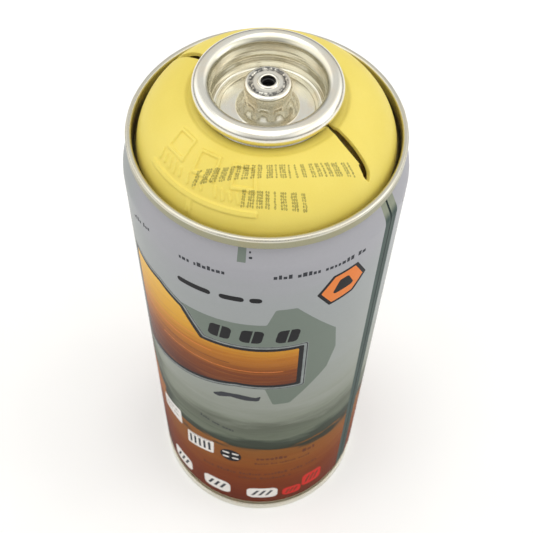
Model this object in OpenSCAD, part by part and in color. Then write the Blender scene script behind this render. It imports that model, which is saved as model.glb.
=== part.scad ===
// Aerosol spray can, 65 mm straight-sided tinplate body with a 25.4 mm valve
// opening, a female push-in valve and a snap-on plastic colour ring.
// Millimetres, +Z up, origin on the can's axis at the plane it stands on.
// Name endings: _r radius, _t thickness, _h height of a part, _w width,
// _d diameter, _z height above the standing plane.

/* [Can] */
// Outer radius of the printed cylinder
body_r = 32.85; // [32.6:0.05:33.0]
// Height of the crest of the top double seam
seam_top = 156.5; // [140:0.5:220]
// Thickness of the body sheet
body_t = 0.20; // [0.18:0.01:0.21]
// Thickness of the two end pieces
end_t = 0.29; // [0.28:0.01:0.30]
// Outer radius of the top double seam
top_seam_r = 31.36; // [31.3:0.01:31.4]
// Outer radius of the bottom double seam
bottom_seam_r = 32.85; // [32.7:0.05:32.9]
// Height of one double seam
seam_h = 3.1; // [3.0:0.05:3.2]
// Height of the crown of the concave bottom above the standing plane
bottom_crown = 13.5; // [11:0.5:15]

/* [Valve cup] */
// Thickness of the cup's sheet
cup_t = 0.28; // [0.26:0.01:0.30]
// Radius of the circle on which the cup's rolled curl is centred
curl_r = 14.22; // [14.18:0.01:14.26]
// Radius of the curl's own section
curl_tube = 2.0; // [1.95:0.01:2.02]
// Height of the curl's crest above the crest of the top seam
curl_rise = 14.16; // [14.10:0.01:14.22]
// Radius of the hole in the pedestal that takes the actuator's stem
stem_hole_r = 1.57; // [1.5:0.01:1.65]

/* [Valve] */
// Outer radius of the spring cup
spring_cup_r = 2.95; // [2.85:0.05:3.0]
// Wire diameter of the valve spring
wire_d = 0.5; // [0.4:0.05:0.55]
// Number of turns of the valve spring
spring_turns = 6; // [5:0.5:7]

/* [Dip tube] */
// Outer radius of the dip tube
tube_outer_r = 2.25; // [2.15:0.05:2.4]
// Inner radius of the dip tube
tube_inner_r = 1.82; // [1.80:0.01:1.84]
// How far from the axis the tube's tip ends
tube_reach = 21; // [16:0.5:22]

/* [Mixing balls] */
// Radius of one mixing ball
ball_r = 3.0; // [2.5:0.1:3.2]

/* [Colour ring] */
// Outer radius of the colour ring
ring_r = 29.15; // [28.9:0.05:29.3]
// Thickness of the colour ring's wall
ring_t = 1.0; // [0.9:0.05:1.1]
// Width of the two curved slits
slit_w = 1.3; // [1.0:0.1:1.5]

/* [Hidden] */
$fn = 96;

// ---------------------------------------------------------------- sheet paths
// Paths are drawn in the half plane [radius, height].
function unit(v) = v / norm(v);
function flat(p) = [p[0], p[1]];
function reversed(list) = [for (i = [len(list) - 1:-1:0]) list[i]];
function lifted(points, z) = [for (p = points) p + [0, z]];
function polar(centre, radius, angle) = centre + radius * [cos(angle), sin(angle)];
function arc(centre, radius, from, to, steps) =
    [for (i = [0:steps]) polar(centre, radius, from + (to - from) * i / steps)];

// The shorter arc that fillets the corner between two straight steps.
function corner(before, tip, after, fillet, steps) =
    let (to_before = unit(flat(before) - flat(tip)),
         to_after = unit(flat(after) - flat(tip)),
         opening = acos(max(-1, min(1, to_before * to_after))),
         setback = fillet / tan(opening / 2),
         centre = flat(tip) + unit(to_before + to_after) * fillet / sin(opening / 2),
         first = flat(tip) + to_before * setback - centre,
         last = flat(tip) + to_after * setback - centre,
         start = atan2(first[1], first[0]),
         end = atan2(last[1], last[0]),
         turn = end - start > 180 ? -360 : (end - start < -180 ? 360 : 0))
    arc(centre, fillet, start, end + turn, steps);

// A path of corners [radius, height, fillet]; its two ends stay sharp.
function rounded(path, steps = 5) =
    [for (i = [0:len(path) - 1])
        each (i == 0 || i == len(path) - 1 || path[i][2] == 0
            ? [flat(path[i])]
            : corner(path[i - 1], path[i], path[i + 1], path[i][2], steps))];

// Points at a distance to the left of a path, with the mitres limited.
function side(path, distance) =
    [for (i = [0:len(path) - 1])
        let (before = i == 0 ? undef : unit(path[i] - path[i - 1]),
             after = i == len(path) - 1 ? undef : unit(path[i + 1] - path[i]),
             along = i == 0 ? after : (i == len(path) - 1 ? before : unit(before + after)),
             mitre = i == 0 || i == len(path) - 1 ? 1 : max(0.3, along * after))
        path[i] + distance / mitre * [-along[1], along[0]]];

// A sheet whose middle runs along the path, flat and spun about the can's axis.
module sheet(path, thickness) {
    polygon(concat(side(path, thickness / 2), reversed(side(path, -thickness / 2))));
}
module spun(path, thickness) {
    rotate_extrude() sheet(path, thickness);
}

// ---------------------------------------------------------------- double seams
// Five sheet layers, numbered from the seam's outer radius inwards.
cover_wall = 0;
body_hook = 1;
cover_hook = 2;
body_wall = 3;
chuck_wall = 4;
seam_gap = 0.03;                  // clearance between layers
layer_pitch = (end_t + body_t) / 2 + seam_gap;
hook_depth = 0.56;                // from the seam's crest to the middle of the body's fold

function layer_r(seam_r, layer) = seam_r - end_t / 2 - layer * layer_pitch;

// In the seam functions, inward is -1 at the top seam and 1 at the bottom one:
// the sense of Z from the seam's crest into the can.
function body_seam(seam_r, crest_z, inward) = [
    [layer_r(seam_r, body_hook), crest_z + inward * (seam_h - 0.75), 0],
    [layer_r(seam_r, body_hook), crest_z + inward * hook_depth, 0.22],
    [layer_r(seam_r, body_wall), crest_z + inward * hook_depth, 0.22]];

function end_seam(seam_r, crest_z, inward, crest_fillet) =
    let (fold_z = crest_z + inward * (seam_h - end_t / 2),
         top_z = crest_z + inward * end_t / 2)
    [[layer_r(seam_r, cover_hook), crest_z + inward * 0.95, 0],
     [layer_r(seam_r, cover_hook), fold_z, 0.24],
     [layer_r(seam_r, cover_wall), fold_z, 0.24],
     [layer_r(seam_r, cover_wall), top_z, crest_fillet],
     [layer_r(seam_r, chuck_wall), top_z, crest_fillet]];

// Section of the sealing compound:
// [radius from the seam's middle, distance from the body's fold to the crest]
compound_outline = [[-0.30, 0.018], [-0.30, 0.054], [-0.14, 0.153],
                    [0.14, 0.153], [0.30, 0.054], [0.30, 0.018]];

// A small ring between the end piece's crest and the body's turned-over edge.
module compound(seam_r, crest_z, inward) {
    fold_z = crest_z + inward * (hook_depth - body_t / 2);
    rotate_extrude()
        polygon([for (p = compound_outline)
                 [layer_r(seam_r, cover_hook) + p[0], fold_z - inward * p[1]]]);
}
module top_seam_compound() {
    color([0.55, 0.45, 0.35]) compound(top_seam_r, seam_top, -1);
}
module bottom_seam_compound() {
    color([0.55, 0.45, 0.35]) compound(bottom_seam_r, 0, 1);
}

// ---------------------------------------------------------------- can
// Body: hooked into both seams, necked in below the top seam and above the
// bottom one.
body_mid_r = body_r - body_t / 2;
module can_body() {
    color([0.72, 0.74, 0.78])
    spun(rounded(concat(
        body_seam(top_seam_r, seam_top, -1),
        [[layer_r(top_seam_r, body_wall), seam_top - 4.2, 3.2],
         [body_mid_r, seam_top - 9.0, 6.0],
         [body_mid_r, 8.2, 6.0],
         [layer_r(bottom_seam_r, body_wall), 4.6, 3.0]],
        reversed(body_seam(bottom_seam_r, 0, 1)))), body_t);
}

curl_z = seam_top + curl_rise - curl_tube;   // centre height of the curl's section
bead_centre = [14.1, curl_z - 0.1];
bead_tube = 1.4;                             // outer radius of the bead's section
bead_mid_r = bead_tube - end_t / 2;
dome_centre = [13.33, seam_top - 5.51];
dome_arc_r = 13.55;
countersink_z = seam_top - 4.6;

// Dome: seam, chuck wall, countersink, crown, neck, and the outward bead round
// the valve opening.
module top_dome() {
    neck_r = bead_centre[0] - bead_mid_r;
    color([0.80, 0.80, 0.78])
    spun(concat(
        rounded(concat(
            end_seam(top_seam_r, seam_top, -1, 0.45),
            [[layer_r(top_seam_r, chuck_wall), countersink_z, 1.2],
             [dome_centre[0] + dome_arc_r * cos(4) - 0.03, countersink_z, 1.0],
             polar(dome_centre, dome_arc_r, 9)])),
        arc(dome_centre, dome_arc_r, 14, 72, 14),
        rounded([
            [16.2, seam_top + 7.75, 0],
            [14.5, seam_top + 8.55, 0.8],
            [neck_r, seam_top + 9.9, 0.8],
            [neck_r, bead_centre[1] - 0.3, 0]]),
        arc(bead_centre, bead_mid_r, 180, -110, 24)), end_t);
}

// The bottom's crown is a spherical cap, given here by its middle surface.
crown_edge_r = layer_r(bottom_seam_r, chuck_wall);
crown_edge_z = 5.2;
crown_mid_z = bottom_crown - end_t / 2;
crown_h = crown_mid_z - crown_edge_z;
crown_sphere_r = (pow(crown_edge_r, 2) + pow(crown_h, 2)) / (2 * crown_h);
crown_centre = [0, crown_mid_z - crown_sphere_r];
crown_edge_angle = acos(crown_edge_r / crown_sphere_r);

// Bottom: the same seam turned over, then a crown that rises into the can.
module bottom_dome() {
    color([0.80, 0.80, 0.78])
    rotate_extrude()
    intersection() {
        sheet(concat(
            rounded(concat(
                end_seam(bottom_seam_r, 0, 1, 0.35),
                [[crown_edge_r, crown_edge_z, 1.6],
                 polar(crown_centre, crown_sphere_r, crown_edge_angle + 4)])),
            arc(crown_centre, crown_sphere_r, crown_edge_angle + 7, 91, 13)), end_t);
        // The crown's arc runs just past the axis and is cut off there.
        square([40, 30]);
    }
}

// ---------------------------------------------------------------- valve cup
curl_mid_r = curl_tube - cup_t / 2;
cup_wall_r = curl_r - curl_mid_r;            // middle of the wall below the curl
pedestal_r = 5.10 - cup_t / 2;               // middle of the pedestal's wall
pedestal_z = seam_top + 13.3 - cup_t / 2;    // middle of the pedestal's top
groove_depth = 0.33;                         // of the ring groove in that top
floor_z = seam_top + 5.5;

// Cup: curl, wall, sunken floor, and the pedestal with its collared stem hole.
module mounting_cup() {
    collar_r = stem_hole_r + cup_t / 2;
    collar_z = pedestal_z + 0.42;
    color([0.86, 0.84, 0.80])
    spun(concat(
        arc([curl_r, curl_z], curl_mid_r, -62, 180, 30),
        rounded([
            [cup_wall_r, curl_z - 0.3, 0],
            [cup_wall_r, seam_top + 9.7, 0.8],
            [13.0, seam_top + 8.3, 0.5],
            [12.35, seam_top + 7.3, 0.6],
            [12.25, floor_z + 0.1, 0.9],
            [11.0, floor_z, 0.6],
            [10.2, floor_z + 0.35, 0.6],
            [6.6, floor_z + 0.35, 0.9],
            [5.5, floor_z + 1.9, 1.5],
            [pedestal_r, floor_z + 3.0, 0.8],
            [pedestal_r - 0.35, floor_z + 3.55, 0.4],
            [pedestal_r, floor_z + 4.1, 0.5],
            [pedestal_r, pedestal_z, 0.75],
            [4.0, pedestal_z, 0.3],
            [3.7, pedestal_z - groove_depth, 0.2],
            [3.4, pedestal_z, 0.3],
            [2.25, pedestal_z, 0.25],
            [2.0, collar_z, 0.22],
            [collar_r, collar_z, 0.16],
            [collar_r, pedestal_z - 0.14, 0]], 4)), cup_t);
}

// Gasket between the cup's curl and the bead of the dome.
cup_gasket_gap = 0.04;
module cup_gasket() {
    color([0.25, 0.26, 0.28])
    rotate_extrude()
    difference() {
        translate([curl_r, curl_z]) circle(r = curl_tube - cup_t - cup_gasket_gap);
        translate(bead_centre) circle(r = bead_tube + cup_gasket_gap);
        // Only the part from 0.4 above the curl's centre upwards is left.
        translate([curl_r - 5, curl_z - 6.6]) square([10, 7]);
    }
}

// Rubber ring clamped under the top of the pedestal.
gasket_top = pedestal_z - groove_depth - cup_t / 2 - 0.03;
gasket_t = 1.0;
gasket_r = 4.5;
module stem_gasket() {
    color([0.08, 0.08, 0.09])
    rotate_extrude()
        polygon(lifted([
            [1.25, 0.1 - gasket_t], [1.35, -gasket_t], [gasket_r, -gasket_t],
            [gasket_r, -0.1], [gasket_r - 0.1, 0], [1.35, 0], [1.25, -0.1]],
            gasket_top));
}

// ---------------------------------------------------------------- valve
seat_z = gasket_top - gasket_t - 0.02;     // lip of the spring cup at rest
spring_floor_z = seat_z - 9.5;             // housing floor, where the spring stands
spring_roof_z = seat_z - 1.55;             // underside of the spring cup's top
spring_gap = 0.03;                         // clearance at each end of the spring
housing_bottom = spring_floor_z - 1.2;

// Spring cup: closes the hole of the rubber ring from below with a raised lip,
// and is hollow underneath to hold the spring. Four channels run down its side.
module spring_cup() {
    color([0.92, 0.92, 0.90])
    difference() {
        rotate_extrude()
            polygon(concat(
                lifted([
                    [0, -0.55], [1.7, -0.55], [1.95, -0.02], [2.2, -0.02],
                    [2.4, -0.5], [spring_cup_r - 0.2, -0.5], [spring_cup_r, -0.7],
                    [spring_cup_r, -4.2], [spring_cup_r - 0.15, -4.4],
                    [2.4, -4.4], [2.25, -4.2]], seat_z),
                [[2.25, spring_roof_z], [0, spring_roof_z]]));
        for (a = [0:90:270])
            rotate([0, 0, a + 45])
            translate([spring_cup_r - 0.30, -0.35, seat_z - 5])
            cube([1, 0.7, 6]);
    }
}

// Coil spring, closed at both ends, standing on the housing's floor.
spring_r = 1.85;                           // to the middle of the wire
spring_low_z = spring_floor_z + wire_d / 2 + spring_gap;
spring_high_z = spring_roof_z - wire_d / 2 - spring_gap;

// Height of the wire's middle; part runs from 0 to 1 along the wire.
function coil_z(part) =
    let (end_part = 1 / spring_turns,      // one closed turn at each end
         end_rise = wire_d * 1.04,
         open_rise = spring_high_z - spring_low_z - 2 * end_rise)
    part < end_part ? spring_low_z + end_rise * part / end_part
    : part > 1 - end_part ? spring_high_z - end_rise * (1 - part) / end_part
    : spring_low_z + end_rise + open_rise * (part - end_part) / (1 - 2 * end_part);

module valve_spring() {
    steps = floor(spring_turns * 20);
    sides = 8;                             // of the wire's section
    points = [for (i = [0:steps])
        let (turn = 360 * spring_turns * i / steps)
        for (j = [0:sides - 1])
            let (p = polar([spring_r, coil_z(i / steps)], wire_d / 2, 360 * j / sides))
            [p[0] * cos(turn), p[0] * sin(turn), p[1]]];
    faces = concat(
        [[for (j = [0:sides - 1]) j]],
        [for (i = [0:steps - 1]) for (j = [0:sides - 1])
            let (next = (j + 1) % sides, here = i * sides, ahead = here + sides)
            each [[here + next, here + j, ahead + j],
                  [here + next, ahead + j, ahead + next]]],
        [[for (j = [sides - 1:-1:0]) steps * sides + j]]);
    color([0.75, 0.76, 0.78]) polyhedron(points, faces, convexity = 6);
}

// Housing: clamped under the rubber ring by its rim, with a barbed tail for
// the dip tube, a small gas port through its +Y side and six grooves round
// its lower end.
bore_r = 3.3;
housing_r = 3.95;
rim_r = 4.5;
tail_bore_r = 1.0;
tail_r = 1.68;
tail_top = housing_bottom - 0.2;
tail_bottom = housing_bottom - 9.5;
module valve_housing() {
    color([0.90, 0.90, 0.88])
    difference() {
        rotate_extrude()
            polygon([
                [bore_r, seat_z], [bore_r, spring_floor_z],
                [tail_bore_r, spring_floor_z], [tail_bore_r, tail_bottom],
                [1.4, tail_bottom], [tail_r, tail_bottom + 1.4],
                [tail_r, tail_top], [2.7, tail_top],
                [3.1, housing_bottom + 0.2], [housing_r, housing_bottom + 1.2],
                [housing_r, seat_z - 3.6], [rim_r, seat_z - 2.2],
                [rim_r, seat_z - 0.15], [rim_r - 0.15, seat_z]]);
        translate([0, 0, spring_floor_z + 3.2])
            rotate([0, 90, 90])
            cylinder(r = 0.35, h = 8);
        for (a = [0:60:300])
            rotate([0, 0, a + 30])
            translate([housing_r - 0.3, -0.4, housing_bottom - 1])
            cube([2, 0.8, 6]);
    }
}

// ---------------------------------------------------------------- dip tube
// Pushed over the housing's tail and bent in one long arc towards +X.
tube_top = housing_bottom - 0.25;
tube_tip_z = 17.5;
tube_drop = tube_top - tube_tip_z;
bend_r = (pow(tube_drop, 2) + pow(tube_reach, 2)) / (2 * tube_reach);
bend_angle = asin(tube_drop / bend_r);
module dip_tube() {
    color([0.93, 0.94, 0.92])
    translate([bend_r, 0, tube_top])
    rotate([-90, 0, 0])
    rotate([0, 0, 180 - bend_angle])
    rotate_extrude(angle = bend_angle, $fn = 720)
    translate([bend_r, 0])
    difference() {
        circle(r = tube_outer_r, $fn = 96);
        circle(r = tube_inner_r, $fn = 96);
    }
}

// ---------------------------------------------------------------- mixing balls
// Each ball lies on the bottom's crown, beside the body's wall.
ball_gap = 0.12;
ball_orbit = body_r - body_t - ball_r - ball_gap;
ball_z = crown_centre[1]
    + sqrt(pow(crown_sphere_r + end_t / 2 + ball_r + ball_gap, 2) - pow(ball_orbit, 2));
module ball(angle) {
    color([0.7, 0.71, 0.73])
    rotate([0, 0, angle])
    translate([ball_orbit, 0, ball_z])
    sphere(r = ball_r);
}
module mixing_ball_a() { ball(148); }
module mixing_ball_b() { ball(205); }

// ---------------------------------------------------------------- colour ring
ring_arc_r = 15.94;
ring_centre = [ring_r - 15.82, seam_top - 5.51];
ring_lip_r = 14.9;
ring_foot_z = seam_top - 3.85;
module ring_section() {
    outside = concat(
        lifted([[ring_lip_r, 9.32], [ring_lip_r + 0.35, 9.62],
                [16.9, 9.62], [17.25, 9.72]], seam_top),
        arc(ring_centre, ring_arc_r, 74.5, 6, 22),
        [[ring_r, ring_foot_z]]);
    inside = concat(
        lifted([[ring_lip_r, 8.95], [16.5, 8.62]], seam_top),
        arc(ring_centre, ring_arc_r - ring_t, 76, 6, 22),
        [[ring_r - ring_t, ring_foot_z]]);
    polygon(concat(outside, reversed(inside)));
}

// One slit in plan, [x, y]: a sliver between an arc and a straight edge,
// running out from the inner edge and ending in a half arrow.
slit_centre = [26.63, -0.90];
slit_arc_r = 14.8 + slit_w;
slit_bounds = [[10.5, -5.94], [20.61, -14.21], [19.48, -15.45], [15, -19], [8, -8]];
slit_arrow = [[20.45, -14.07], [21.25, -14.7], [21.75, -15.4], [21.85, -16.4],
              [21.6, -16.95], [21.0, -17.0], [20.3, -16.85], [19.18, -15.57],
              [19.48, -15.3]];
module slit() {
    linear_extrude(height = 30) {
        intersection() {
            translate(slit_centre) circle(r = slit_arc_r);
            polygon(slit_bounds);
        }
        polygon(slit_arrow);
    }
}

// Convex ring snapped under the curl of the cup. Two curved slits half a turn
// apart let its inner edge open over the curl.
module colour_ring() {
    color([0.90, 0.84, 0.45])
    difference() {
        rotate_extrude() ring_section();
        for (a = [0, 180])
            rotate([0, 0, a])
            translate([0, 0, seam_top - 5])
            slit();
    }
}

can_body();
top_dome();
bottom_dome();
top_seam_compound();
bottom_seam_compound();
mounting_cup();
cup_gasket();
stem_gasket();
spring_cup();
valve_spring();
valve_housing();
dip_tube();
mixing_ball_a();
mixing_ball_b();
colour_ring();
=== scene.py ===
"""A printed tinplate aerosol can with its valve and a yellow plastic colour ring.

The can stands on z = 0 with its axis on Z. The camera looks from -Y, so -Y (-90 degrees) is the
front, +X the right and +Y the back. Sizes are in mm and become metres through MM.
"""
import math
import random
from functools import cached_property

import bmesh
import bpy
import numpy as np
from mathutils import Matrix, Vector
from mathutils.geometry import delaunay_2d_cdt

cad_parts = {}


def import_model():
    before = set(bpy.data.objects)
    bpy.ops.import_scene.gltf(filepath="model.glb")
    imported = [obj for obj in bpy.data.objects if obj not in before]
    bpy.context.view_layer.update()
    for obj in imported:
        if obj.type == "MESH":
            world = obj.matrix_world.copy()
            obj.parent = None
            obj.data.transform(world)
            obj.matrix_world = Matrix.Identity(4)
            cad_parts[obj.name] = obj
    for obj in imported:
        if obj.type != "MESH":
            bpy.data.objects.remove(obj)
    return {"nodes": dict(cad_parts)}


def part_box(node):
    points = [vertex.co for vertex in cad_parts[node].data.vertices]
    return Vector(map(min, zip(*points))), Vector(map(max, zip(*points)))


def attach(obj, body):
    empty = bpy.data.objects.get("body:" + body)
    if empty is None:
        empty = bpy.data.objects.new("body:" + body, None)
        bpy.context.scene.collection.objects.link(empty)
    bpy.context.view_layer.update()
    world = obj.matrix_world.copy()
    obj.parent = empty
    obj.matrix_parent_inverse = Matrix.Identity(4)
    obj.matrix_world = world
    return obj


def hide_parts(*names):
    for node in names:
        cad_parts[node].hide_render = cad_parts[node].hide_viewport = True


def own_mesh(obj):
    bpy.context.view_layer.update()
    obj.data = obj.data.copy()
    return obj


cad_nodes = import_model()["nodes"]
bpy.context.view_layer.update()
MM = 0.001
rad, deg = math.radians, math.degrees


# ------------------------------------------------------------------ sizes (mm), from the frame
def extent(name):
    """Outer radius, lowest height and highest height of a CAD piece."""
    low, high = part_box(name)
    return high.x / MM, low.z / MM, high.z / MM


BODY_R, _, _ = extent("can_body")
SEAM_R, _, _ = extent("top_dome")
CURL_OUT_R, _, CUP_CREST = extent("mounting_cup")
RING_R, RING_FOOT, _ = extent("colour_ring")
FOOT_R, _, CROWN = extent("bottom_dome")
TOP = RING_FOOT + 3.85                          # crest of the top seam
END_T, BODY_T, CUP_T = 0.29, 0.20, 0.28         # sheet thicknesses
GAP = 0.03                                      # between the sheets of a seam
CURL_T = 2.0                                    # section radius of the cup's curl
CURL_R = CURL_OUT_R - CURL_T
CURL_Z = CUP_CREST - CURL_T
SEAM_H = 3.1
HOOK = 0.56                                     # seam crest to the middle of the body hook's bend


# ------------------------------------------------------------------ profiles: lists of (r, z)
def unit(v):
    n = math.hypot(v[0], v[1])
    return (v[0] / n, v[1] / n)


def direction(a, b):
    return unit((b[0] - a[0], b[1] - a[1]))


def distance(a, b):
    return math.hypot(b[0] - a[0], b[1] - a[1])


def fillet(before, point, after, radius, steps):
    """The arc that rounds a corner of a path."""
    u, v = direction(point, before), direction(point, after)
    angle = math.acos(max(-1, min(1, u[0] * v[0] + u[1] * v[1])))
    cut = radius / math.tan(angle / 2)
    middle = unit((u[0] + v[0], u[1] + v[1]))
    depth = radius / math.sin(angle / 2)
    cx, cy = point[0] + middle[0] * depth, point[1] + middle[1] * depth
    start = math.atan2(point[1] + u[1] * cut - cy, point[0] + u[0] * cut - cx)
    end = math.atan2(point[1] + v[1] * cut - cy, point[0] + v[0] * cut - cx)
    if end - start > math.pi:
        end -= 2 * math.pi
    if end - start < -math.pi:
        end += 2 * math.pi
    angles = [start + (end - start) * i / steps for i in range(steps + 1)]
    return [(cx + radius * math.cos(a), cy + radius * math.sin(a)) for a in angles]


def rounded(path, steps=8):
    """A path whose points are (r, z) or (r, z, corner radius)."""
    out = []
    for i, p in enumerate(path):
        radius = p[2] if len(p) > 2 else 0
        if i in (0, len(path) - 1) or radius == 0:
            out.append((p[0], p[1]))
        else:
            out += fillet(path[i - 1], p, path[i + 1], radius, steps)
    return out


def arc(centre, radius, start, end, steps):
    """Points of an arc between two angles in degrees."""
    angles = [rad(start + (end - start) * i / steps) for i in range(steps + 1)]
    return [(centre[0] + radius * math.cos(a), centre[1] + radius * math.sin(a)) for a in angles]


def offset(path, d):
    """An open path moved to its left by d, with mitred corners."""
    out = []
    for i, p in enumerate(path):
        before = direction(path[i - 1], p) if i else None
        after = direction(p, path[i + 1]) if i < len(path) - 1 else None
        tangent, mitre = before or after, 1
        if before and after:
            tangent = unit((before[0] + after[0], before[1] + after[1]))
            mitre = max(0.3, tangent[0] * after[0] + tangent[1] * after[1])
        out.append((p[0] - d / mitre * tangent[1], p[1] + d / mitre * tangent[0]))
    return out


def thin(path, least=0.02):
    """Drops points closer than the least distance to the last one kept."""
    out = [path[0]]
    for p in path[1:]:
        if distance(out[-1], p) > least:
            out.append(p)
    return out


def refine(path, step):
    """Splits edges longer than step."""
    out = [path[0]]
    for p in path[1:]:
        a = out[-1]
        n = max(1, int(math.ceil(distance(a, p) / step)))
        out += [(a[0] + (p[0] - a[0]) * i / n, a[1] + (p[1] - a[1]) * i / n)
                for i in range(1, n + 1)]
    return out


def sheet_outline(path, thickness):
    """Closed outline of a sheet whose middle follows the path."""
    return offset(path, thickness / 2) + list(reversed(offset(path, -thickness / 2)))


# ------------------------------------------------------------------ meshes
def make(name, verts, faces, body, mats, replaced, index=None, sharp=38):
    """A welded, smooth-shaded object that rides on a body and replaces a CAD piece."""
    me = bpy.data.meshes.new(name)
    me.from_pydata([(x * MM, y * MM, z * MM) for x, y, z in verts], [], faces)
    for m in mats:
        me.materials.append(m)
    if index is not None:
        me.polygons.foreach_set("material_index", np.array(index, np.int32))
    bm = bmesh.new()
    bm.from_mesh(me)
    bmesh.ops.remove_doubles(bm, verts=bm.verts, dist=2e-6)
    bmesh.ops.recalc_face_normals(bm, faces=bm.faces)
    bm.to_mesh(me)
    bm.free()
    me.polygons.foreach_set("use_smooth", np.ones(len(me.polygons), bool))
    me.update()
    me.set_sharp_from_angle(angle=rad(sharp))
    ob = bpy.data.objects.new(name, me)
    bpy.context.scene.collection.objects.link(ob)
    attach(ob, body)
    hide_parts(replaced)
    return ob


def revolved(outline, segments, form=None):
    """Closed outline turned about Z. form(r, z, angle) may move a point."""
    verts, faces, n = [], [], len(outline)
    for j in range(segments):
        a = 2 * math.pi * j / segments
        for r, z in outline:
            if form:
                r, z = form(r, z, a)
            r = max(0.0, r)
            verts.append((r * math.cos(a), r * math.sin(a), z))
    on_axis = [r <= 1e-9 for r, _ in outline]
    for j in range(segments):
        k = (j + 1) % segments
        for i in range(n):
            m = (i + 1) % n
            if on_axis[i] and on_axis[m]:
                continue
            if on_axis[i]:
                faces.append([j * n + i, k * n + m, j * n + m])
            elif on_axis[m]:
                faces.append([j * n + i, k * n + i, j * n + m])
            else:
                faces.append([j * n + i, k * n + i, k * n + m, j * n + m])
    return verts, faces


def ccw(outline):
    pairs = zip(outline, outline[1:] + outline[:1])
    return outline if sum(a[0] * b[1] - b[0] * a[1] for a, b in pairs) > 0 else outline[::-1]


def plane_grid(columns, rows):
    """Points of a grid row by row, and the edges of its border."""
    points = [(x, y) for y in rows for x in columns]
    n, edges = len(columns), []
    last = (len(rows) - 1) * n
    for j in range(n - 1):
        edges += [(j, j + 1), (last + j, last + j + 1)]
    for i in range(len(rows) - 1):
        edges += [(i * n, (i + 1) * n), (i * n + n - 1, (i + 1) * n + n - 1)]
    return points, edges


def add_area(points, areas, outline):
    first = len(points)
    points += ccw(outline)
    areas.append(list(range(first, first + len(outline))))


def planar(points, edges, areas, eps=1e-5):
    """Constrained triangulation: verts, triangles and, for each triangle, the areas that hold it."""
    flat = [Vector((float(x), float(y))) for x, y in points]
    verts, _, tris, _, _, held_by = delaunay_2d_cdt(flat, edges, areas, 0, eps)
    return [(p.x, p.y) for p in verts], [list(t) for t in tris], held_by


# ------------------------------------------------------------------ shader helpers
class Nodes:
    """Builds a node tree. A value may be a socket to link or a plain value."""

    def __init__(self, owner):
        owner.use_nodes = True
        self.tree = owner.node_tree
        self.tree.nodes.clear()

    def put(self, sock, v):
        if isinstance(v, bpy.types.NodeSocket):
            self.tree.links.new(v, sock)
        elif isinstance(v, (tuple, list)) and len(v) == 3 and sock.type == "RGBA":
            sock.default_value = (*v, 1)
        else:
            sock.default_value = v

    def node(self, kind, inputs=None, **settings):
        """A node; inputs are keyed by socket number or name."""
        n = self.tree.nodes.new("ShaderNode" + kind)
        for name, v in settings.items():
            setattr(n, name, v)
        for key, v in (inputs or {}).items():
            self.put(n.inputs[key], v)
        return n

    def calc(self, operation, a, b):
        return self.node("Math", {0: a, 1: b, 2: 0.0}, operation=operation).outputs[0]

    def times(self, a, b):
        return self.calc("MULTIPLY", a, b)

    def plus(self, a, b):
        return self.calc("ADD", a, b)

    def remap(self, v, over, to=(0.0, 1.0), smooth=False):
        """Maps the span 'over' onto the span 'to', clamped."""
        n = self.node("MapRange", dict(enumerate((v, *over, *to))))
        if smooth:
            n.interpolation_type = "SMOOTHSTEP"
        return n.outputs[0]

    def mix(self, amount, a, b, mode="MIX"):
        return self.node("Mix", {0: amount, 6: a, 7: b}, data_type="RGBA",
                         blend_type=mode).outputs[2]

    def tinted(self, colour, tint):
        return self.mix(1.0, colour, tint, "MULTIPLY")

    def ramp(self, v, stops):
        """Stops are (position, grey or colour)."""
        n = self.node("ValToRGB", {0: v})
        elements = n.color_ramp.elements
        while len(elements) > 1:
            elements.remove(elements[-1])
        for i, (position, c) in enumerate(stops):
            e = elements.new(position) if i else elements[0]
            e.position = position
            e.color = (c, c, c, 1) if isinstance(c, (int, float)) else (*c, 1)
        return n.outputs[0]


class Material(Nodes):
    """A principled material with object coordinates in mm."""

    def __init__(self, name):
        self.material = bpy.data.materials.new(name)
        super().__init__(self.material)
        self.shader = self.node("BsdfPrincipled")
        self.node("OutputMaterial", {0: self.shader.outputs[0]})

    @cached_property
    def place(self):
        coords = self.node("TexCoord").outputs["Object"]
        return self.node("VectorMath", {0: coords, "Scale": 1 / MM}, operation="SCALE").outputs[0]

    @cached_property
    def axes(self):
        return self.node("SeparateXYZ", {0: self.place}).outputs

    @property
    def x(self):
        return self.axes[0]

    @property
    def y(self):
        return self.axes[1]

    @property
    def z(self):
        return self.axes[2]

    @cached_property
    def radius(self):
        squares = self.plus(self.times(self.x, self.x), self.times(self.y, self.y))
        return self.calc("POWER", squares, 0.5)

    @cached_property
    def angle(self):
        return self.calc("ARCTAN2", self.y, self.x)

    def noise(self, scale, detail=3.0, rough=0.5, warp=0.0, at=None):
        return self.node("TexNoise", {
            "Vector": self.place if at is None else at, "Scale": scale, "Detail": detail,
            "Roughness": rough, "Distortion": warp}).outputs[0]

    def stretched(self, *axes, detail=3, rough=0.5, warp=0.0):
        """Noise over three axes, each (coordinate, frequency) or a constant."""
        parts = [self.times(*a) if isinstance(a, tuple) else a for a in axes]
        at = self.node("CombineXYZ", dict(enumerate(parts))).outputs[0]
        return self.noise(1.0, detail, rough, warp, at)

    def bump(self, height, strength, depth, after=None):
        """Bump of a depth in mm, on top of another normal where given."""
        n = self.node("Bump", {"Strength": strength, "Distance": depth * MM, "Height": height})
        if after is not None:
            self.put(n.inputs["Normal"], after)
        return n.outputs[0]

    def set(self, **inputs):
        for name, v in inputs.items():
            self.put(self.shader.inputs[name.replace("_", " ")], v)
        return self.material


def srgb(*levels):
    return tuple((c / 255) / 12.92 if c / 255 <= 0.04045 else ((c / 255 + 0.055) / 1.055) ** 2.4
                 for c in levels)


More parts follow.
